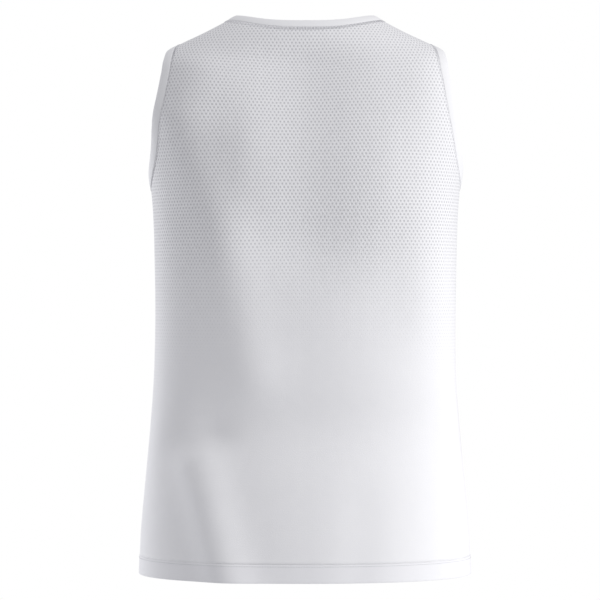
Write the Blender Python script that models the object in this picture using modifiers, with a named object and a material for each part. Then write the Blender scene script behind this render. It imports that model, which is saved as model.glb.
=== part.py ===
"""A sleeveless base layer singlet, in its worn shape with no wearer, in metres.

+Z is up and -Y is the wearer's front. The origin lies midway between the two high shoulder
points, where the shoulders hold the garment. The cloth follows one closed oval body form
from hem to neck. Each panel is a grid laid on that form and given its wall by Solidify, and
each band continues the edge points of the panels that it is sewn to.
"""

import math

import bmesh
import bpy
import numpy as np

# Driving sizes
BODY_LENGTH = 0.6670
HEM_DEPTH = 0.0205
BAND_WIDTH = 0.0105
PANEL_WALL = 0.0015
BAND_WALL = 0.0022
BAND_PROUD = 0.0004
SEAM_GAP = 0.0003

# Heights of the seams, and how far each neckline drops and how wide its dip is
NECK_SEAM_Z = -0.0052
TIP_SEAM_Z = -0.0363
UNDERARM_SEAM_Z = -0.2070
HEM_SEAM_Z = HEM_DEPTH - BODY_LENGTH
NECK_DROP = {"back": 0.0148, "front": 0.0980}
NECK_DIP = {"back": math.radians(44), "front": math.radians(25)}
NECK_DIP_POWER = 2.5

# How finely the grids are laid
COLUMNS = 28
BODY_ROWS = 13
ARMHOLE_ROWS = 11
SHOULDER_ROWS = 4
BAND_ROWS = 2
EDGE_STRIP = 0.0030
ARMHOLE_STRIP = 0.0042
CURVE_SAMPLES = 241

# Oval sections of the body form: height, half width, depth to back and front, squareness.
# Between the underarm and the shoulder tip the oval is wider than the cloth, as an arm is.
SECTION_COLUMNS = ("z", "half_width", "back", "front", "squareness")
SECTIONS = (
    (-0.6670, 0.1988, 0.1190, 0.1140, 2.24),
    (-0.6140, 0.1964, 0.1132, 0.1114, 2.26),
    (-0.5700, 0.1925, 0.1062, 0.1090, 2.28),
    (-0.5280, 0.1886, 0.1004, 0.1070, 2.30),
    (-0.4850, 0.1848, 0.0972, 0.1060, 2.32),
    (-0.4420, 0.1816, 0.0974, 0.1058, 2.34),
    (-0.3980, 0.1799, 0.1000, 0.1068, 2.36),
    (-0.3550, 0.1793, 0.1038, 0.1090, 2.38),
    (-0.2980, 0.1800, 0.1086, 0.1126, 2.40),
    (-0.2540, 0.1811, 0.1112, 0.1146, 2.40),
    (-0.2260, 0.1827, 0.1122, 0.1150, 2.38),
    (-0.2070, 0.1847, 0.1124, 0.1148, 2.36),
    (-0.1900, 0.1880, 0.1122, 0.1140, 2.34),
    (-0.1700, 0.1922, 0.1112, 0.1120, 2.32),
    (-0.1400, 0.1982, 0.1080, 0.1040, 2.30),
    (-0.1100, 0.2002, 0.1025, 0.0935, 2.28),
    (-0.0800, 0.1940, 0.0950, 0.0800, 2.26),
    (-0.0600, 0.1850, 0.0880, 0.0690, 2.24),
    (-0.0490, 0.1735, 0.0832, 0.0622, 2.22),
    (-0.0363, 0.1520, 0.0762, 0.0535, 2.20),
    (-0.0200, 0.1188, 0.0644, 0.0430, 2.15),
    (-0.0052, 0.0914, 0.0490, 0.0335, 2.10),
    (0.0010, 0.0805, 0.0415, 0.0290, 2.10),
)

# Where the panels end at the armhole seam
ARMHOLE_COLUMNS = ("z", "half_width")
ARMHOLE = (
    (-0.2070, 0.1847),
    (-0.1900, 0.1804),
    (-0.1730, 0.1760),
    (-0.1560, 0.1725),
    (-0.1390, 0.1692),
    (-0.1220, 0.1657),
    (-0.1040, 0.1620),
    (-0.0800, 0.1575),
    (-0.0600, 0.1542),
    (-0.0490, 0.1529),
    (-0.0363, 0.1520),
)

# The largest soft folds: which panel, its middle, how it leans, its reach across and along,
# and how far it stands out (plus) or sinks in (minus)
FOLD_COLUMNS = ("panel", "x", "z", "lean", "across", "along", "height")
FOLDS = (
    ("back", -0.076, -0.135, 0.10, 0.036, 0.075, 0.0060),
    ("back", 0.076, -0.135, -0.10, 0.036, 0.075, 0.0060),
    ("back", 0.000, -0.180, 0.00, 0.030, 0.110, -0.0045),
    ("back", 0.126, -0.565, 0.20, 0.020, 0.085, -0.0060),
    ("back", -0.062, -0.600, 0.10, 0.022, 0.065, -0.0025),
    ("front", 0.072, -0.175, 0.00, 0.045, 0.060, 0.0055),
    ("front", -0.072, -0.175, 0.00, 0.045, 0.060, 0.0055),
    ("front", 0.000, -0.205, 0.00, 0.026, 0.080, -0.0030),
    ("front", 0.116, -0.580, -0.15, 0.022, 0.075, -0.0045),
    ("front", -0.104, -0.590, 0.18, 0.020, 0.070, -0.0050),
)

SIDE = {"back": 1.0, "front": -1.0}
QUARTER = math.pi / 2


def between(table, columns, name, z):
    """A column of a table at the heights z, on a smooth curve through its rows."""
    heights = np.array([row[columns.index("z")] for row in table])
    values = np.array([row[columns.index(name)] for row in table])
    slopes = np.gradient(values, heights)
    z = np.clip(np.asarray(z, float), heights[0], heights[-1])
    low = np.clip(np.searchsorted(heights, z, side="right") - 1, 0, len(table) - 2)
    step = heights[low + 1] - heights[low]
    s = (z - heights[low]) / step
    level = values[low] * (1 + 2 * s) * (1 - s) ** 2 + values[low + 1] * s**2 * (3 - 2 * s)
    return level + step * (slopes[low] * s * (1 - s) ** 2 - slopes[low + 1] * s**2 * (1 - s))


def section(name, z):
    return between(SECTIONS, SECTION_COLUMNS, name, z)


def outward(panel, points):
    """Unit normals of the body form at points on one panel."""
    nudge = 0.001
    x, y, z = points.T
    a, b, n = section("half_width", z), section(panel, z), section("squareness", z)
    a_slope = (section("half_width", z + nudge) - section("half_width", z - nudge)) / (2 * nudge)
    b_slope = (section(panel, z + nudge) - section(panel, z - nudge)) / (2 * nudge)
    across, deep = np.abs(x) / a, np.abs(y) / b
    normal = np.stack(
        [
            np.sign(x) * across ** (n - 1) / a,
            SIDE[panel] * deep ** (n - 1) / b,
            -(across**n * a_slope / a + deep**n * b_slope / b),
        ],
        axis=-1,
    )
    return normal / np.linalg.norm(normal, axis=-1, keepdims=True)


def fold_height(panel, x, z):
    total = np.zeros_like(x)
    for row in FOLDS:
        fold = dict(zip(FOLD_COLUMNS, row))
        if fold["panel"] == panel:
            off = x - fold["x"] - fold["lean"] * (z - fold["z"])
            reach = (off / fold["across"]) ** 2 + ((z - fold["z"]) / fold["along"]) ** 2
            total += fold["height"] * np.exp(-reach)
    return total


def on_body(panel, turn, z):
    """Points of the cloth's outer face. turn is 0 at the panel's middle and a quarter circle
    at the side line, where back and front meet."""
    a, b, n = section("half_width", z), section(panel, z), section("squareness", z)
    x = a * np.sign(turn) * np.abs(np.sin(turn)) ** (2 / n)
    y = SIDE[panel] * b * np.clip(np.cos(turn), 0, 1) ** (2 / n)
    flat = np.stack([x, y, z], axis=-1)
    return flat + fold_height(panel, x, z)[:, None] * outward(panel, flat)


def row_height(panel, turn, level):
    """Rows are level up to the underarm, and above it they bend down to the neckline."""
    rise = max(0.0, (level - UNDERARM_SEAM_Z) / (NECK_SEAM_Z - UNDERARM_SEAM_Z))
    dip = 1 / (1 + np.abs(turn / NECK_DIP[panel]) ** NECK_DIP_POWER)
    dip_at_shoulder = 1 / (1 + (QUARTER / NECK_DIP[panel]) ** NECK_DIP_POWER)
    share = (dip - dip_at_shoulder) / (1 - dip_at_shoulder)
    return level - rise * NECK_DROP[panel] * share


def is_armhole(level):
    return UNDERARM_SEAM_Z < level < TIP_SEAM_Z


def row_end(level):
    """How far round the row runs: to the armhole seam, or else to the side line."""
    if not is_armhole(level):
        return QUARTER
    reach = between(ARMHOLE, ARMHOLE_COLUMNS, "half_width", level)
    share = min(1.0, reach / section("half_width", level))
    return math.asin(share ** (section("squareness", level) / 2))


def row_points(panel, level, trim):
    """Points along one row of a panel from -X to +X: evenly spaced, with a narrow strip at
    each side and shoulder seam so that the wall ends square."""
    end = row_end(level)
    turn = np.linspace(-end, end, CURVE_SAMPLES)
    curve = on_body(panel, turn, row_height(panel, turn, level))
    along = np.concatenate([[0], np.cumsum(np.linalg.norm(np.diff(curve, axis=0), axis=1))])
    strip = ARMHOLE_STRIP if is_armhole(level) else EDGE_STRIP
    inner = np.linspace(strip, along[-1] - strip, COLUMNS - 1)
    at = np.concatenate([[trim], inner, [along[-1] - trim]])
    return np.stack([np.interp(at, along, curve[:, axis]) for axis in range(3)], axis=1)


def levels():
    """Levels of the panel rows, closer together where the armhole turns fastest, and with a
    narrow strip along the hem and the neck."""
    body = np.linspace(HEM_SEAM_Z + EDGE_STRIP, UNDERARM_SEAM_Z, BODY_ROWS)
    swing = (1 - np.cos(np.linspace(0, math.pi, ARMHOLE_ROWS + 1))) / 2
    armhole = UNDERARM_SEAM_Z + swing * (TIP_SEAM_Z - UNDERARM_SEAM_Z)
    shoulder = np.linspace(TIP_SEAM_Z, NECK_SEAM_Z - EDGE_STRIP / 2, SHOULDER_ROWS)
    return [HEM_SEAM_Z, *body, *armhole[1:], *shoulder[1:], NECK_SEAM_Z]


def panel_rows(panel):
    side_trim = SEAM_GAP / 2
    return [row_points(panel, level, 0 if is_armhole(level) else side_trim) for level in levels()]


def ring(level):
    """Points and outward normals all round the body, with nothing counted twice."""
    back = row_points("back", level, 0)[:-1]
    front = row_points("front", level, 0)[::-1][:-1]
    normals = [outward("back", back), outward("front", front)]
    return np.concatenate([back, front]), np.concatenate(normals)


def armhole_ring(side):
    """Points and outward normals round the armhole on the side -1 or 1, up the back edge from
    the underarm to the shoulder tip and down the front edge."""
    edge = [level for level in levels() if UNDERARM_SEAM_Z <= level <= TIP_SEAM_Z]
    end = -1 if side > 0 else 0
    back = np.array([row_points("back", level, 0)[end] for level in edge])[:-1]
    front = np.array([row_points("front", level, 0)[end] for level in edge])[:0:-1]
    normals = [outward("back", back), outward("front", front)]
    return np.concatenate([back, front]), np.concatenate(normals)


def band_rows(seam, normals, width):
    """Rows of a band that carries on from a seam, away from the panels, in the surface."""
    run = np.roll(seam, -1, axis=0) - np.roll(seam, 1, axis=0)
    away = np.cross(run, normals)
    away /= np.linalg.norm(away, axis=1, keepdims=True)
    middle = seam.mean(axis=0)
    if np.sum(away * (middle - seam)) < 0:
        away = -away
    return [seam + away * (SEAM_GAP + width * step / BAND_ROWS) for step in range(BAND_ROWS + 1)]


def cloth_material(name, colour, roughness):
    material = bpy.data.materials.new(name)
    material.use_nodes = True
    shader = material.node_tree.nodes["Principled BSDF"]
    shader.inputs["Base Color"].default_value = (*colour, 1.0)
    shader.inputs["Roughness"].default_value = roughness
    shader.inputs["Metallic"].default_value = 0.0
    return material


def laid_grid(name, rows, closed, wall, proud, material):
    """A grid whose rows lie on the given points, made a wall of cloth by Solidify."""
    wide = len(rows[0]) if closed else len(rows[0]) - 1
    high = len(rows) - 1
    bm = bmesh.new()
    bmesh.ops.create_grid(bm, x_segments=wide, y_segments=high, size=0.5)
    for vertex in bm.verts:
        column = round((vertex.co.x + 0.5) * wide)
        row = round((vertex.co.y + 0.5) * high)
        vertex.co = rows[row][column % len(rows[0])]
    bmesh.ops.remove_doubles(bm, verts=bm.verts, dist=SEAM_GAP / 30)
    bmesh.ops.recalc_face_normals(bm, faces=bm.faces)
    facing = sum(face.normal.xy.dot(face.calc_center_median().xy) for face in bm.faces)
    if facing < 0:
        bmesh.ops.reverse_faces(bm, faces=bm.faces)
    mesh = bpy.data.meshes.new(name)
    bm.to_mesh(mesh)
    bm.free()
    mesh.shade_smooth()
    mesh.materials.append(material)
    cloth = bpy.data.objects.new(name, mesh)
    solidify = cloth.modifiers.new("wall", "SOLIDIFY")
    solidify.thickness = wall
    solidify.offset = 2 * proud / wall - 1
    solidify.use_even_offset = True
    return cloth


def make_panels(collection):
    for panel in SIDE:
        material = cloth_material(f"{panel}_mesh_cloth", (0.90, 0.90, 0.91), 0.85)
        name = f"{panel}_panel"
        collection.objects.link(
            laid_grid(name, panel_rows(panel), False, PANEL_WALL, 0.0, material)
        )


def make_neck_binding(collection):
    material = cloth_material("neck_binding_knit", (0.88, 0.88, 0.89), 0.80)
    rows = band_rows(*ring(NECK_SEAM_Z), BAND_WIDTH)
    collection.objects.link(
        laid_grid("neck_binding", rows, True, BAND_WALL, BAND_PROUD, material)
    )


def make_armhole_bindings(collection):
    for side, hand in ((-1, "right"), (1, "left")):
        material = cloth_material(f"armhole_binding_{hand}_knit", (0.88, 0.88, 0.89), 0.80)
        rows = band_rows(*armhole_ring(side), BAND_WIDTH)
        name = f"armhole_binding_{hand}"
        collection.objects.link(laid_grid(name, rows, True, BAND_WALL, BAND_PROUD, material))


def make_hem_band(collection):
    material = cloth_material("hem_knit", (0.88, 0.88, 0.89), 0.82)
    heights = np.linspace(HEM_SEAM_Z - SEAM_GAP, -BODY_LENGTH, BAND_ROWS + 1)
    rows = [ring(height)[0] for height in heights]
    collection.objects.link(laid_grid("hem_band", rows, True, BAND_WALL, BAND_PROUD, material))


def main():
    for item in list(bpy.data.objects):
        bpy.data.objects.remove(item, do_unlink=True)
    collection = bpy.data.collections.new("base_layer_singlet")
    bpy.context.scene.collection.children.link(collection)
    make_panels(collection)
    make_neck_binding(collection)
    make_armhole_bindings(collection)
    make_hem_band(collection)


main()
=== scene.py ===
"""A white sleeveless base layer singlet in fine eyelet knit, filled out as worn, seen from
behind. The file follows the garment as it is sewn: back panel, front panel, neck binding,
armhole bindings, hem, and last the stitches that hold them."""

import math

import bmesh
import bpy
import numpy as np
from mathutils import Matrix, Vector


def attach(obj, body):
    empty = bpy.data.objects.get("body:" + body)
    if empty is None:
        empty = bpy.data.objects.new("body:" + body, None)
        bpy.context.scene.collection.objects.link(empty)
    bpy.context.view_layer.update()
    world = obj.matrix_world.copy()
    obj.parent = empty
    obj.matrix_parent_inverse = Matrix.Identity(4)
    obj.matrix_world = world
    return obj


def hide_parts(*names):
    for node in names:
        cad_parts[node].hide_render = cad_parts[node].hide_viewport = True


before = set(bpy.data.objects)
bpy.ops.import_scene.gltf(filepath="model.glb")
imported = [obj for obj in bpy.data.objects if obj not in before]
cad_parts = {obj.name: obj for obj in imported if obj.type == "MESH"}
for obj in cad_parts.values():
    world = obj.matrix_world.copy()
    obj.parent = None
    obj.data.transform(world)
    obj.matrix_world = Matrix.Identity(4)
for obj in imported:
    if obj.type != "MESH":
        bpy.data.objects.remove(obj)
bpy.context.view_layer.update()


# Back panel
# One piece of fine polyester knit, open with small staggered eyelets over the shoulder
# blades and closing to plain knit below the waist. It is cut wide, sewn to the front at the
# shoulders and sides, and hangs in soft folds from the shoulder blades.

SEAM_GAP = 0.0003
PANEL_WALL = 0.0015
NECK_SEAM_Z = -0.0052
TIP_SEAM_Z = -0.0363
UNDERARM_SEAM_Z = -0.2070
HEM_BOTTOM_Z = -0.6670
HEM_SEAM_Z = -0.6465
NECK_DROP = {"back": 0.0148, "front": 0.0980}
NECK_DIP = {"back": math.radians(44), "front": math.radians(25)}
NECK_DIP_POWER = 2.5
QUARTER = math.pi / 2
SIDE = {"back": 1.0, "front": -1.0}

# Oval sections of the worn cloth: height, half width, depth to back and front, squareness
SECTION_COLUMNS = ("z", "half_width", "back", "front", "squareness")
SECTIONS = (
    (-0.6670, 0.1988, 0.1190, 0.1140, 2.24),
    (-0.6140, 0.1964, 0.1132, 0.1114, 2.26),
    (-0.5700, 0.1925, 0.1062, 0.1090, 2.28),
    (-0.5280, 0.1886, 0.1004, 0.1070, 2.30),
    (-0.4850, 0.1848, 0.0972, 0.1060, 2.32),
    (-0.4420, 0.1816, 0.0974, 0.1058, 2.34),
    (-0.3980, 0.1799, 0.1000, 0.1068, 2.36),
    (-0.3550, 0.1793, 0.1038, 0.1090, 2.38),
    (-0.2980, 0.1800, 0.1086, 0.1126, 2.40),
    (-0.2540, 0.1811, 0.1112, 0.1146, 2.40),
    (-0.2260, 0.1827, 0.1122, 0.1150, 2.38),
    (-0.2070, 0.1847, 0.1124, 0.1148, 2.36),
    (-0.1900, 0.1880, 0.1122, 0.1140, 2.34),
    (-0.1700, 0.1922, 0.1112, 0.1120, 2.32),
    (-0.1400, 0.1982, 0.1080, 0.1040, 2.30),
    (-0.1100, 0.2002, 0.1025, 0.0935, 2.28),
    (-0.0800, 0.1940, 0.0950, 0.0800, 2.26),
    (-0.0600, 0.1850, 0.0880, 0.0690, 2.24),
    (-0.0490, 0.1735, 0.0832, 0.0622, 2.22),
    (-0.0363, 0.1520, 0.0762, 0.0535, 2.20),
    (-0.0200, 0.1188, 0.0644, 0.0430, 2.15),
    (-0.0052, 0.0914, 0.0490, 0.0335, 2.10),
    (0.0010, 0.0805, 0.0415, 0.0290, 2.10),
)

# Half width of the panels along the armhole seam
ARMHOLE_COLUMNS = ("z", "half_width")
ARMHOLE = (
    (-0.2070, 0.1847),
    (-0.1900, 0.1804),
    (-0.1730, 0.1760),
    (-0.1560, 0.1725),
    (-0.1390, 0.1692),
    (-0.1220, 0.1657),
    (-0.1040, 0.1620),
    (-0.0800, 0.1575),
    (-0.0600, 0.1542),
    (-0.0490, 0.1529),
    (-0.0363, 0.1520),
)

# Folds, each a soft ridge (plus) or trough (minus) along a line from its top to its foot:
# half its breadth, how far it fades out past each end, and its height
FOLD_COLUMNS = ("top_x", "top_z", "foot_x", "foot_z", "breadth", "fade", "height")
FOLDS = {
    "back": (
        (0.138, -0.075, 0.146, -0.120, 0.044, 0.030, 0.0085),
        (0.144, -0.150, 0.106, -0.240, 0.028, 0.040, 0.0050),
        (0.092, -0.290, 0.064, -0.420, 0.034, 0.040, 0.0060),
        (-0.152, -0.090, -0.150, -0.330, 0.036, 0.060, 0.0085),
        (0.008, -0.050, -0.004, -0.260, 0.076, 0.060, -0.0130),
        (0.060, -0.170, -0.090, -0.180, 0.075, 0.040, 0.0060),
        (0.105, -0.492, -0.150, -0.498, 0.044, 0.040, -0.0080),
        (0.150, -0.503, 0.110, -0.496, 0.018, 0.022, -0.0030),
        (0.126, -0.535, 0.090, -0.675, 0.029, 0.022, 0.0105),
        (0.156, -0.540, 0.122, -0.670, 0.018, 0.030, -0.0018),
        (-0.064, -0.590, -0.060, -0.680, 0.024, 0.040, -0.0014),
    ),
    "front": (
        (0.074, -0.165, 0.076, -0.195, 0.045, 0.050, 0.0060),
        (-0.070, -0.165, -0.074, -0.195, 0.045, 0.050, 0.0060),
        (0.000, -0.175, 0.000, -0.240, 0.026, 0.060, -0.0035),
        (0.112, -0.540, 0.126, -0.675, 0.018, 0.050, -0.0050),
        (-0.096, -0.560, -0.112, -0.675, 0.020, 0.045, -0.0055),
        (-0.030, -0.600, -0.034, -0.675, 0.022, 0.040, 0.0030),
        (0.150, -0.440, 0.080, -0.500, 0.013, 0.030, -0.0028),
        (-0.155, -0.300, -0.100, -0.245, 0.014, 0.035, -0.0030),
        (0.140, -0.235, 0.105, -0.180, 0.014, 0.030, -0.0028),
    ),
}

# Folds fade out from this height up to the neck seam, which holds the cloth smooth
NECK_CALM = (-0.065, -0.018)

PANEL_COLUMNS = 150
PANEL_ROWS = {"body": 104, "armhole": 64, "shoulder": 22}
CURVE_SAMPLES = 481


def between(table, columns, name, z):
    heights = np.array([row[columns.index("z")] for row in table])
    values = np.array([row[columns.index(name)] for row in table])
    slopes = np.gradient(values, heights)
    z = np.clip(np.asarray(z, float), heights[0], heights[-1])
    low = np.clip(np.searchsorted(heights, z, side="right") - 1, 0, len(table) - 2)
    step = heights[low + 1] - heights[low]
    s = (z - heights[low]) / step
    level = values[low] * (1 + 2 * s) * (1 - s) ** 2 + values[low + 1] * s**2 * (3 - 2 * s)
    return level + step * (slopes[low] * s * (1 - s) ** 2 - slopes[low + 1] * s**2 * (1 - s))


def section(name, z):
    return between(SECTIONS, SECTION_COLUMNS, name, z)


def outward(panel, points):
    """Unit normals of the worn shape, without its folds."""
    nudge = 0.001
    x, y, z = points.T
    a, b, n = section("half_width", z), section(panel, z), section("squareness", z)
    a_slope = (section("half_width", z + nudge) - section("half_width", z - nudge)) / (2 * nudge)
    b_slope = (section(panel, z + nudge) - section(panel, z - nudge)) / (2 * nudge)
    across, deep = np.abs(x) / a, np.abs(y) / b
    normal = np.stack(
        [
            np.sign(x) * across ** (n - 1) / a,
            SIDE[panel] * deep ** (n - 1) / b,
            -(across**n * a_slope / a + deep**n * b_slope / b),
        ],
        axis=-1,
    )
    return normal / np.linalg.norm(normal, axis=-1, keepdims=True)


def fold_height(panel, x, z):
    total = np.zeros_like(x)
    for row in FOLDS[panel]:
        fold = dict(zip(FOLD_COLUMNS, row))
        run = np.array([fold["foot_x"] - fold["top_x"], fold["foot_z"] - fold["top_z"]])
        length = np.linalg.norm(run)
        run = run / length
        right, up = x - fold["top_x"], z - fold["top_z"]
        along = right * run[0] + up * run[1]
        off = right * run[1] - up * run[0]
        past = np.maximum(0, np.maximum(-along, along - length))
        total += fold["height"] * np.exp(-((off / fold["breadth"]) ** 2) - (past / fold["fade"]) ** 2)
    calm = np.clip((NECK_CALM[1] - z) / (NECK_CALM[1] - NECK_CALM[0]), 0, 1)
    return total * calm**2 * (3 - 2 * calm)


def on_body(panel, turn, z):
    """Points of the outer face. turn is 0 at the panel's middle, a quarter circle at its side."""
    a, b, n = section("half_width", z), section(panel, z), section("squareness", z)
    x = a * np.sign(turn) * np.abs(np.sin(turn)) ** (2 / n)
    y = SIDE[panel] * b * np.clip(np.cos(turn), 0, 1) ** (2 / n)
    flat = np.stack([x, y, z], axis=-1)
    side_calm = np.clip(np.cos(turn), 0, 1) ** 0.5
    return flat + (side_calm * fold_height(panel, x, z))[:, None] * outward(panel, flat)


def row_height(panel, turn, level):
    """Rows are level up to the underarm, and above it they bend down to the neckline."""
    rise = max(0.0, (level - UNDERARM_SEAM_Z) / (NECK_SEAM_Z - UNDERARM_SEAM_Z))
    dip = 1 / (1 + np.abs(turn / NECK_DIP[panel]) ** NECK_DIP_POWER)
    dip_at_shoulder = 1 / (1 + (QUARTER / NECK_DIP[panel]) ** NECK_DIP_POWER)
    share = (dip - dip_at_shoulder) / (1 - dip_at_shoulder)
    return level - rise * NECK_DROP[panel] * share


def row_end(level):
    """How far round a row runs: to the armhole seam, or else to the side line."""
    if not UNDERARM_SEAM_Z < level < TIP_SEAM_Z:
        return QUARTER
    reach = between(ARMHOLE, ARMHOLE_COLUMNS, "half_width", level)
    share = min(1.0, reach / section("half_width", level))
    return math.asin(share ** (section("squareness", level) / 2))


def lengths_along(curve):
    steps = np.linalg.norm(np.diff(curve, axis=0), axis=1)
    return np.concatenate([[0], np.cumsum(steps)])


def row_points(panel, level, columns, trim):
    """Evenly spaced points of one row from -X to +X, with each point's turn and height."""
    end = row_end(level)
    turn = np.linspace(-end, end, CURVE_SAMPLES)
    height = row_height(panel, turn, level)
    curve = on_body(panel, turn, height)
    along = lengths_along(curve)
    at = np.linspace(trim, along[-1] - trim, columns + 1)
    points = np.stack([np.interp(at, along, curve[:, axis]) for axis in range(3)], axis=1)
    return points, np.interp(at, along, turn), np.interp(at, along, height)


def panel_levels():
    body = np.linspace(HEM_SEAM_Z, UNDERARM_SEAM_Z, PANEL_ROWS["body"] + 1)
    swing = (1 - np.cos(np.linspace(0, math.pi, PANEL_ROWS["armhole"] + 1))) / 2
    armhole = UNDERARM_SEAM_Z + swing * (TIP_SEAM_Z - UNDERARM_SEAM_Z)
    shoulder = np.linspace(TIP_SEAM_Z, NECK_SEAM_Z, PANEL_ROWS["shoulder"] + 1)
    return np.concatenate([body, armhole[1:], shoulder[1:]])


# The cloth's own measure: metres across from the middle, and metres up from the hem
MEASURE_HEIGHTS = np.linspace(HEM_BOTTOM_Z, 0.0010, 140)
MEASURE_TURNS = np.linspace(0, QUARTER, 120)


def cloth_measure(panel):
    across = np.empty((len(MEASURE_HEIGHTS), len(MEASURE_TURNS)))
    for i, z in enumerate(MEASURE_HEIGHTS):
        a, b, n = section("half_width", z), section(panel, z), section("squareness", z)
        oval = np.stack(
            [a * np.sin(MEASURE_TURNS) ** (2 / n), b * np.cos(MEASURE_TURNS) ** (2 / n)], axis=1
        )
        across[i] = lengths_along(oval)
    middle = np.stack([section(panel, MEASURE_HEIGHTS), MEASURE_HEIGHTS], axis=1)
    return across, lengths_along(middle)


def cloth_uv(measure, turn, height):
    across, up = measure
    row = np.interp(height, MEASURE_HEIGHTS, np.arange(len(MEASURE_HEIGHTS)))
    column = np.interp(np.abs(turn), MEASURE_TURNS, np.arange(len(MEASURE_TURNS)))
    i = np.minimum(row.astype(int), len(MEASURE_HEIGHTS) - 2)
    j = np.minimum(column.astype(int), len(MEASURE_TURNS) - 2)
    s, t = row - i, column - j
    low = across[i, j] * (1 - t) + across[i, j + 1] * t
    high = across[i + 1, j] * (1 - t) + across[i + 1, j + 1] * t
    return np.stack([np.sign(turn) * (low * (1 - s) + high * s), np.interp(height, MEASURE_HEIGHTS, up)], axis=1)


# Eyelets are full size down to the first height and gone at the second, which lies lower
# towards the sides
EYELETS_FULL_Z = -0.235
EYELETS_GONE_Z = {"middle": -0.425, "side": -0.540}


def eyelet_openness(turn, height):
    aside = np.clip(np.abs(turn) / QUARTER, 0, 1) ** 2
    gone = EYELETS_GONE_Z["middle"] * (1 - aside) + EYELETS_GONE_Z["side"] * aside
    s = np.clip((height - gone) / (EYELETS_FULL_Z - gone), 0, 1)
    return s * s * (3 - 2 * s)


def laid_cloth(name, rows, uvs, openness, closed, wall, proud, material):
    """A grid laid on rows of points, with the cloth's measure as its UV map, and its wall."""
    wide = len(rows[0]) if closed else len(rows[0]) - 1
    high = len(rows) - 1
    bm = bmesh.new()
    bmesh.ops.create_grid(bm, x_segments=wide, y_segments=high, size=0.5)
    uv_layer = bm.loops.layers.uv.new("cloth")
    open_layer = bm.verts.layers.float.new("eyelet_open")
    for vertex in bm.verts:
        column = round((vertex.co.x + 0.5) * wide)
        row = round((vertex.co.y + 0.5) * high)
        for loop in vertex.link_loops:
            loop[uv_layer].uv = uvs[row][column]
        vertex[open_layer] = openness[row][column % len(rows[0])]
        vertex.co = rows[row][column % len(rows[0])]
    bmesh.ops.remove_doubles(bm, verts=bm.verts, dist=SEAM_GAP / 30)
    bmesh.ops.recalc_face_normals(bm, faces=bm.faces)
    facing = sum(face.normal.xy.dot(face.calc_center_median().xy) for face in bm.faces)
    if facing < 0:
        bmesh.ops.reverse_faces(bm, faces=bm.faces)
    mesh = bpy.data.meshes.new(name)
    bm.to_mesh(mesh)
    bm.free()
    mesh.shade_smooth()
    mesh.materials.append(material)
    piece = bpy.data.objects.new(name, mesh)
    bpy.context.scene.collection.objects.link(piece)
    solidify = piece.modifiers.new("wall", "SOLIDIFY")
    solidify.thickness = wall
    solidify.offset = 2 * proud / wall - 1
    solidify.use_even_offset = True
    return piece


def node(tree, kind, links=(), **settings):
    """A new node with its settings, and with each (input, socket or value) put in."""
    made = tree.nodes.new(kind)
    for key, value in settings.items():
        setattr(made, key, value)
    for place, value in links:
        if isinstance(value, bpy.types.NodeSocket):
            tree.links.new(value, made.inputs[place])
        else:
            made.inputs[place].default_value = value
    return made


def sum_of(tree, operation, *values):
    """The output of one Math node on sockets or plain numbers."""
    return node(tree, "ShaderNodeMath", list(enumerate(values)), operation=operation).outputs[0]


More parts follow.
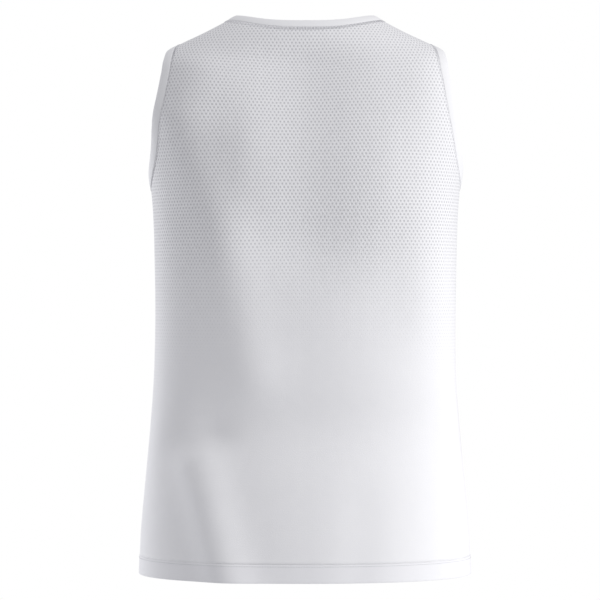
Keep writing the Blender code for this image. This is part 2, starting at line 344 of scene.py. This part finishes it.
def knit_group():
    """Fine knit with staggered eyelets, from the cloth's measure in metres."""
    group = bpy.data.node_groups.new("eyelet_knit", "ShaderNodeTree")
    face = group.interface
    face.new_socket("Measure", in_out="INPUT", socket_type="NodeSocketVector")
    for name in ("Open", "Pitch", "Row Pitch", "Eyelet Radius", "Stitch Size"):
        face.new_socket(name, in_out="INPUT", socket_type="NodeSocketFloat")
    for name in ("Eyelet", "Height", "Mottle"):
        face.new_socket(name, in_out="OUTPUT", socket_type="NodeSocketFloat")
    given = node(group, "NodeGroupInput").outputs
    apart = node(group, "ShaderNodeSeparateXYZ", [(0, given["Measure"])]).outputs
    row = sum_of(group, "DIVIDE", apart["Y"], given["Row Pitch"])
    odd = sum_of(group, "FLOORED_MODULO", sum_of(group, "FLOOR", row), 2.0)
    column = sum_of(group, "ADD", sum_of(group, "DIVIDE", apart["X"], given["Pitch"]), sum_of(group, "MULTIPLY", odd, 0.5))
    across = sum_of(group, "MULTIPLY", sum_of(group, "SUBTRACT", sum_of(group, "FRACT", column), 0.5), given["Pitch"])
    up = sum_of(group, "MULTIPLY", sum_of(group, "SUBTRACT", sum_of(group, "FRACT", row), 0.5), given["Row Pitch"])
    taller = 0.86
    off = sum_of(
        group,
        "SQRT",
        sum_of(group, "ADD", sum_of(group, "POWER", across, 2.0), sum_of(group, "POWER", sum_of(group, "MULTIPLY", up, taller), 2.0)),
    )
    radius = sum_of(group, "MULTIPLY", given["Eyelet Radius"], sum_of(group, "MULTIPLY_ADD", given["Open"], 0.45, 0.55))
    soft = sum_of(group, "MULTIPLY", given["Eyelet Radius"], 0.45)
    edge = node(
        group,
        "ShaderNodeMapRange",
        [("Value", off), ("From Min", sum_of(group, "ADD", radius, soft)), ("From Max", sum_of(group, "SUBTRACT", radius, soft))],
        interpolation_type="SMOOTHSTEP",
    ).outputs["Result"]
    eyelet = sum_of(group, "MULTIPLY", edge, given["Open"])
    turn_rate = sum_of(group, "DIVIDE", 2 * math.pi, given["Stitch Size"])
    wales = sum_of(group, "SINE", sum_of(group, "MULTIPLY", apart["X"], turn_rate))
    courses = sum_of(group, "SINE", sum_of(group, "MULTIPLY", apart["Y"], sum_of(group, "MULTIPLY", turn_rate, 1.3)))
    loops = sum_of(group, "MULTIPLY", sum_of(group, "ADD", wales, courses), 0.12)
    grain = node(
        group, "ShaderNodeTexNoise", [("Vector", given["Measure"]), ("Scale", 900.0), ("Detail", 2.0)]
    ).outputs["Fac"]
    height = sum_of(group, "SUBTRACT", sum_of(group, "ADD", loops, sum_of(group, "MULTIPLY", grain, 0.5)), eyelet)
    cloudy = node(
        group, "ShaderNodeTexNoise", [("Vector", given["Measure"]), ("Scale", 60.0), ("Detail", 3.0)]
    ).outputs["Fac"]
    mottle = sum_of(group, "ADD", sum_of(group, "MULTIPLY", grain, 0.6), sum_of(group, "MULTIPLY", cloudy, 0.4))
    node(group, "NodeGroupOutput", [("Eyelet", eyelet), ("Height", height), ("Mottle", mottle)])
    return group


eyelet_knit = knit_group()

CLOTH_LIGHT = (0.900, 0.900, 0.915, 1.0)
CLOTH_DIM = (0.850, 0.850, 0.872, 1.0)
# The eyelet grey is painted shade: it stands for the dark inside seen through each open eyelet.
EYELET_SHADE_GREY = (0.620, 0.620, 0.645, 1.0)
EYELET_PITCH = 0.00452
EYELET_ROW_PITCH = 0.00387
EYELET_RADIUS = 0.00105
KNIT_STITCH = 0.0011


def knit_material(name, eyelets, light, dim, roughness, relief):
    material = bpy.data.materials.new(name)
    material.use_nodes = True
    tree = material.node_tree
    shader = tree.nodes["Principled BSDF"]
    measure = node(tree, "ShaderNodeUVMap", uv_map="cloth").outputs["UV"]
    openness = node(tree, "ShaderNodeAttribute", attribute_name="eyelet_open").outputs["Fac"]
    knit = node(
        tree,
        "ShaderNodeGroup",
        node_tree=eyelet_knit,
    )
    tree.links.new(measure, knit.inputs["Measure"])
    if eyelets:
        tree.links.new(openness, knit.inputs["Open"])
    knit.inputs["Pitch"].default_value = EYELET_PITCH
    knit.inputs["Row Pitch"].default_value = EYELET_ROW_PITCH
    knit.inputs["Eyelet Radius"].default_value = EYELET_RADIUS
    knit.inputs["Stitch Size"].default_value = KNIT_STITCH
    plain = node(
        tree, "ShaderNodeMix", [(0, knit.outputs["Mottle"]), (6, dim), (7, light)], data_type="RGBA"
    ).outputs[2]
    # Inside the eyelet mask the cloth colour gives way to the painted shade grey; the same mask also sinks each eyelet
    # in the bump.
    colour = node(
        tree, "ShaderNodeMix", [(0, knit.outputs["Eyelet"]), (6, plain), (7, EYELET_SHADE_GREY)], data_type="RGBA"
    ).outputs[2]
    bump = node(
        tree,
        "ShaderNodeBump",
        [("Height", knit.outputs["Height"]), ("Strength", 1.0), ("Distance", relief)],
    ).outputs["Normal"]
    tree.links.new(colour, shader.inputs["Base Color"])
    tree.links.new(bump, shader.inputs["Normal"])
    shader.inputs["Roughness"].default_value = roughness
    shader.inputs["Specular IOR Level"].default_value = 0.25
    shader.inputs["Sheen Weight"].default_value = 0.12
    shader.inputs["Sheen Roughness"].default_value = 0.45
    return material


eyelet_cloth = knit_material("eyelet_cloth", True, CLOTH_LIGHT, CLOTH_DIM, 0.84, 0.00026)


def make_panel(panel):
    measure = cloth_measure(panel)
    rows, uvs, openness = [], [], []
    for level in panel_levels():
        in_armhole = UNDERARM_SEAM_Z < level < TIP_SEAM_Z
        points, turn, height = row_points(panel, level, PANEL_COLUMNS, 0.0 if in_armhole else SEAM_GAP / 2)
        rows.append(points)
        uvs.append(cloth_uv(measure, turn, height))
        openness.append(eyelet_openness(turn, height))
    piece = laid_cloth(f"{panel}_cloth", rows, uvs, openness, False, PANEL_WALL, 0.0, eyelet_cloth)
    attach(piece, "root")
    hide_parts(f"{panel}_panel")
    return piece


back_cloth = make_panel("back")


# Front panel
# The same knit as the back, cut with a lower round neckline. Its folds fall from the chest.

front_cloth = make_panel("front")


# Neck binding
# A strip of smooth knit folded over the raw neck edge and sewn all round, about 10 mm wide.
# Its folded edge lies over the edge of the panels, and it closes in towards the neck.

BAND_WIDTH = 0.0105
BAND_WALL = 0.0022
BAND_PROUD = 0.0004
BAND_ROUNDING = 0.0005
BAND_OVERLAP = 0.0007
BAND_ROWS = 8
RING_COLUMNS = 200

binding_knit = knit_material(
    "binding_knit", False, (0.895, 0.895, 0.910, 1.0), (0.860, 0.860, 0.880, 1.0), 0.78, 0.00008
)


def body_ring(level, columns):
    """Points and outward normals all round the body, with nothing counted twice."""
    back = row_points("back", level, columns, 0)[0][:-1]
    front = row_points("front", level, columns, 0)[0][::-1][:-1]
    normals = [outward("back", back), outward("front", front)]
    return np.concatenate([back, front]), np.concatenate(normals)


def band_directions(seam, normals):
    """Unit vectors along a seam, and across it away from the panels."""
    run = np.roll(seam, -1, axis=0) - np.roll(seam, 1, axis=0)
    run /= np.linalg.norm(run, axis=1, keepdims=True)
    away = np.cross(run, normals)
    away /= np.linalg.norm(away, axis=1, keepdims=True)
    if np.sum(away * (seam.mean(axis=0) - seam)) < 0:
        away = -away
    return run, away


def make_band(name, rows, node_name, material):
    around = lengths_along(np.concatenate([rows[0], rows[0][:1]]))
    depth = np.linspace(0, np.linalg.norm(rows[-1][0] - rows[0][0]), len(rows))
    uvs = [np.stack([around, np.full_like(around, d)], axis=1) for d in depth]
    openness = np.zeros((len(rows), len(rows[0])))
    piece = laid_cloth(name, rows, uvs, openness, True, BAND_WALL, BAND_PROUD, material)
    rounding = piece.modifiers.new("rounding", "BEVEL")
    rounding.width = BAND_ROUNDING
    rounding.segments = 2
    rounding.limit_method = "ANGLE"
    rounding.angle_limit = math.radians(50)
    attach(piece, "root")
    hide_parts(node_name)
    return piece


def sewn_band(name, seam, normals, node_name):
    away = band_directions(seam, normals)[1]
    reach = np.linspace(-BAND_OVERLAP, SEAM_GAP + BAND_WIDTH, BAND_ROWS + 1)
    crown = [0.0005 * math.sin(math.pi * step / BAND_ROWS) for step in range(BAND_ROWS + 1)]
    rows = [seam + away * r + normals * c for r, c in zip(reach, crown)]
    return make_band(name, rows, node_name, binding_knit)


neck_seam, neck_normals = body_ring(NECK_SEAM_Z, RING_COLUMNS)
neck_band = sewn_band("neck_band", neck_seam, neck_normals, "neck_binding")


# Armhole bindings
# The same folded strip, sewn round each armhole from the underarm over the shoulder tip.

def armhole_ring(side):
    """Seam points and normals, up the back edge and down the front edge."""
    edge = [level for level in panel_levels() if UNDERARM_SEAM_Z <= level <= TIP_SEAM_Z]
    end = -1 if side > 0 else 0
    back = np.array([row_points("back", level, 2, 0)[0][end] for level in edge])[:-1]
    front = np.array([row_points("front", level, 2, 0)[0][end] for level in edge])[:0:-1]
    normals = [outward("back", back), outward("front", front)]
    return np.concatenate([back, front]), np.concatenate(normals)


arm_bands, arm_seams = {}, {}
for side, hand in ((1, "left"), (-1, "right")):
    arm_seams[hand] = armhole_ring(side)
    arm_bands[hand] = sewn_band(f"arm_band_{hand}", *arm_seams[hand], f"armhole_binding_{hand}")


# Hem
# The panels' lower edge turned up twice, so it is smooth, a little thicker and slightly
# greyer than the cloth above, and it follows the panels' folds.

hem_knit = knit_material(
    "hem_knit", False, (0.865, 0.865, 0.885, 1.0), (0.825, 0.825, 0.850, 1.0), 0.82, 0.00012
)
hem_rows = [
    body_ring(height, RING_COLUMNS)[0]
    for height in np.linspace(HEM_SEAM_Z + BAND_OVERLAP, HEM_BOTTOM_Z, BAND_ROWS + 1)
]
hem = make_band("hem", hem_rows, "hem_band", hem_knit)


# Stitches
# Polyester thread, coloured grey as painted shade for the shadows between and beside the
# stitches. Short cover stitches cross the panels' edge under each binding, and one row of
# longer lockstitches holds the hem.

TICK_PITCH = 0.0019
TICK_LENGTH = {"neck": 0.0052, "arm": 0.0034}
TICK_INSET = 0.0006
THREAD_RADIUS = 0.00036
HEM_STITCH_PITCH = 0.0030
HEM_STITCH_LENGTH = 0.0022
HEM_STITCH_DROP = 0.0014

thread = bpy.data.materials.new("thread_painted_shade")
thread.use_nodes = True
thread_tree = thread.node_tree
thread_shader = thread_tree.nodes["Principled BSDF"]
thread_place = node(thread_tree, "ShaderNodeTexCoord").outputs["Object"]
twist = node(
    thread_tree, "ShaderNodeTexNoise", [("Vector", thread_place), ("Scale", 1400.0), ("Detail", 2.0)]
).outputs["Fac"]
# The thread's two greys are painted shade for the shadows at the stitches; the twist noise between them is the thread's
# own uneven tone.
thread_shade_grey = node(
    thread_tree,
    "ShaderNodeMix",
    [(0, twist), (6, (0.60, 0.60, 0.63, 1.0)), (7, (0.72, 0.72, 0.74, 1.0))],
    data_type="RGBA",
).outputs[2]
thread_tree.links.new(thread_shade_grey, thread_shader.inputs["Base Color"])
thread_shader.inputs["Roughness"].default_value = 0.6
thread_shader.inputs["Sheen Weight"].default_value = 0.1


def spaced(points, normals, directions, pitch):
    """Places at an even pitch round a closed seam, with their normals and directions."""
    loop = np.concatenate([points, points[:1]])
    along = lengths_along(loop)
    count = round(along[-1] / pitch)
    at = np.arange(count) * along[-1] / count
    found = []
    for values in (points, normals, directions):
        closed = np.concatenate([values, values[:1]])
        found.append(np.stack([np.interp(at, along, closed[:, axis]) for axis in range(3)], axis=1))
    return zip(*found)


def stitch_row(name, places, length):
    """One rounded stitch laid many times, each along its own direction on the cloth."""
    bm = bmesh.new()
    bmesh.ops.create_uvsphere(bm, u_segments=6, v_segments=5, radius=1.0)
    corners = np.array([vertex.co for vertex in bm.verts]) * (THREAD_RADIUS, THREAD_RADIUS, length / 2)
    faces = [[vertex.index for vertex in face.verts] for face in bm.faces]
    bm.free()
    laid, joined = [], []
    for place, normal, direction in places:
        up = normal - direction * direction.dot(normal) / direction.dot(direction)
        wide = np.cross(direction, up)
        turn = np.stack([axis / np.linalg.norm(axis) for axis in (wide, up, direction)])
        joined += [[index + len(laid) * len(corners) for index in face] for face in faces]
        laid.append(corners @ turn + place)
    mesh = bpy.data.meshes.new(name)
    mesh.from_pydata(np.concatenate(laid), [], joined)
    mesh.shade_smooth()
    mesh.materials.append(thread)
    piece = bpy.data.objects.new(name, mesh)
    bpy.context.scene.collection.objects.link(piece)
    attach(piece, "root")
    return piece


def cover_stitches(name, seam, normals, length):
    away = band_directions(seam, normals)[1]
    laid = seam - away * (TICK_INSET + length / 2) + normals * THREAD_RADIUS * 0.5
    return stitch_row(name, spaced(laid, normals, away, TICK_PITCH), length)


neck_stitches = cover_stitches("neck_stitches", neck_seam, neck_normals, TICK_LENGTH["neck"])
arm_stitches = {
    hand: cover_stitches(f"arm_stitches_{hand}", *arm_seams[hand], TICK_LENGTH["arm"])
    for hand in arm_seams
}
hem_line, hem_normals = body_ring(HEM_SEAM_Z - HEM_STITCH_DROP, RING_COLUMNS)
hem_run = band_directions(hem_line, hem_normals)[0]
hem_laid = hem_line + hem_normals * (BAND_PROUD + THREAD_RADIUS * 0.2)
hem_stitches = stitch_row(
    "hem_stitches", spaced(hem_laid, hem_normals, hem_run, HEM_STITCH_PITCH), HEM_STITCH_LENGTH
)


# Studio
# A plain pale floor well below the garment, a white surround, one large soft lamp from the
# wearer's right and a weaker one from behind on the left.

FLOOR_Z = -1.45
FLOOR_SIZE = 7.0
bm = bmesh.new()
bmesh.ops.create_grid(bm, x_segments=1, y_segments=1, size=FLOOR_SIZE / 2)
bmesh.ops.translate(bm, verts=bm.verts, vec=(0, 0, FLOOR_Z))
floor_mesh = bpy.data.meshes.new("floor")
bm.to_mesh(floor_mesh)
bm.free()
floor = bpy.data.objects.new("floor", floor_mesh)
bpy.context.scene.collection.objects.link(floor)
floor_paint = bpy.data.materials.new("floor_paint")
floor_paint.use_nodes = True
floor_paint.node_tree.nodes["Principled BSDF"].inputs["Base Color"].default_value = (0.45, 0.45, 0.46, 1)
floor_paint.node_tree.nodes["Principled BSDF"].inputs["Roughness"].default_value = 0.9
floor_mesh.materials.append(floor_paint)

world = bpy.data.worlds.new("studio")
bpy.context.scene.world = world
world.use_nodes = True
sky = world.node_tree
surround = sky.nodes["Background"]
surround.inputs["Color"].default_value = (0.965, 0.965, 1.0, 1.0)
surround.inputs["Strength"].default_value = 0.51
seen = node(sky, "ShaderNodeBackground", [("Color", (1.0, 1.0, 1.0, 1.0)), ("Strength", 1.0)])
to_camera = node(sky, "ShaderNodeLightPath").outputs["Is Camera Ray"]
either = node(sky, "ShaderNodeMixShader", [(0, to_camera), (1, surround.outputs[0]), (2, seen.outputs[0])])
sky.links.new(either.outputs[0], sky.nodes["World Output"].inputs["Surface"])

GARMENT_MIDDLE = Vector((0, 0, -0.33))
LAMP_COLUMNS = ("name", "place", "size", "watts", "colour")
LAMPS = (
    ("key", (-1.98, 1.45, 1.62), 1.4, 41.0, (1.0, 0.995, 0.985)),
    ("side", (-1.30, 0.60, -0.90), 0.9, 10.0, (1.0, 1.0, 1.0)),
    ("rim", (2.00, -1.25, -0.20), 1.1, 20.0, (0.98, 0.985, 1.0)),
    ("low_rim", (1.30, 0.00, -1.15), 0.5, 4.0, (0.98, 0.985, 1.0)),
)
for row in LAMPS:
    lamp = dict(zip(LAMP_COLUMNS, row))
    light = bpy.data.lights.new(lamp["name"], "AREA")
    light.shape = "SQUARE"
    light.size = lamp["size"]
    light.energy = lamp["watts"]
    light.color = lamp["colour"]
    stand = bpy.data.objects.new(lamp["name"], light)
    stand.location = lamp["place"]
    stand.rotation_euler = (GARMENT_MIDDLE - stand.location).to_track_quat("-Z", "Y").to_euler()
    bpy.context.scene.collection.objects.link(stand)

# The camera stands level behind the garment, at its mid height
camera = bpy.data.objects.new("camera", bpy.data.cameras.new("camera"))
camera.data.lens = 140.0
camera.data.sensor_width = 36.0
camera.location = (0.006, 2.80, -0.3408)
camera.rotation_euler = (math.pi / 2, 0.0, math.pi)
bpy.context.scene.collection.objects.link(camera)
bpy.context.scene.camera = camera
bpy.context.scene.view_settings.view_transform = "Standard"
